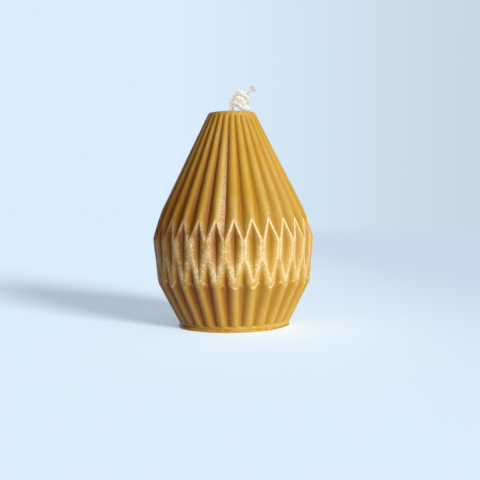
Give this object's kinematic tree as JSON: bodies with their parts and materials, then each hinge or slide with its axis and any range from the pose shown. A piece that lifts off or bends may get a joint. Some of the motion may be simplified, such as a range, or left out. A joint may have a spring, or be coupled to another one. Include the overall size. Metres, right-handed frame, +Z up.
{
  "type": "beeswax candle",
  "caption": "Free-standing pear-shaped candle with vertical pleats, a belt of tall diamonds at its widest part and a short wound wick on its flat top.",
  "frame": {"origin": "middle of the underside, on the surface that the candle stands on", "axes": "+Z up along the candle's axis, -Y towards the viewer of the picture, +X to the right"},
  "size_m": [0.0638, 0.0638, 0.0954],
  "materials": {
    "beeswax": "satin golden beeswax with pale bloom on its edges",
    "beeswax_film": "thin pale golden beeswax, uneven edge",
    "wick_cotton": "braided undyed cotton"
  },
  "bodies": {
    "root": {"wax_body": "beeswax", "base_film": "beeswax_film", "wick_core": "wick_cotton", "wick_curl": "wick_cotton", "wick_tail": "wick_cotton"}
  },
  "joints": []
}
